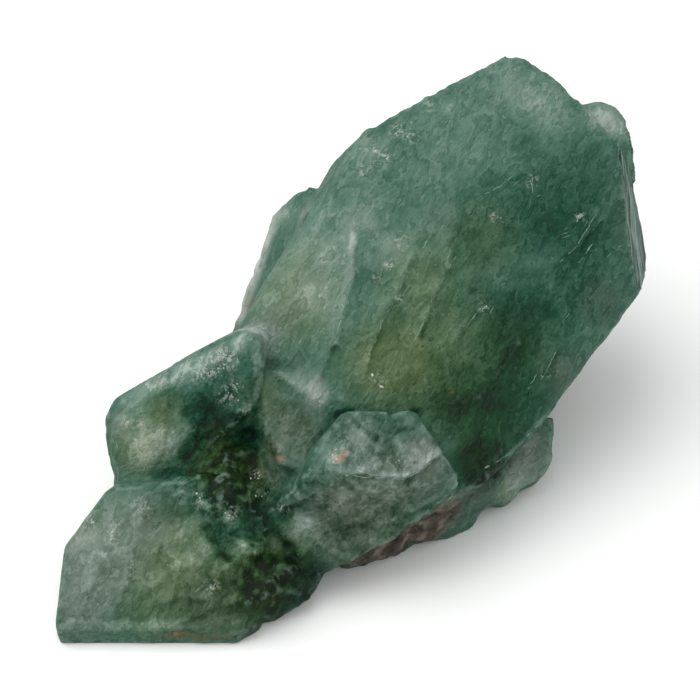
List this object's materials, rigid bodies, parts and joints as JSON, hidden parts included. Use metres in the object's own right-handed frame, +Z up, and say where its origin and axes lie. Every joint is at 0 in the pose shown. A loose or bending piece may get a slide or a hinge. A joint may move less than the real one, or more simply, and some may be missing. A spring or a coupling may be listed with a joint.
{
  "type": "chlorite quartz point",
  "caption": "Cloudy green quartz: one stout faceted crystal leaning back over smaller ones grown together, sawn flat below to rest on a table",
  "frame": {"origin": "centre of the bounding box at the level of the flat underside", "axes": "+Z up from the flat underside; -Y is the side the picture was taken from, with the stout crystal's tip pointing to +X and +Y"},
  "size_m": [0.07, 0.065, 0.0393],
  "materials": {
    "chlorite_quartz": "cloudy green quartz with chlorite shut inside it, dull glassy natural faces"
  },
  "bodies": {
    "root": {"quartz_cluster": "chlorite_quartz"}
  },
  "joints": []
}
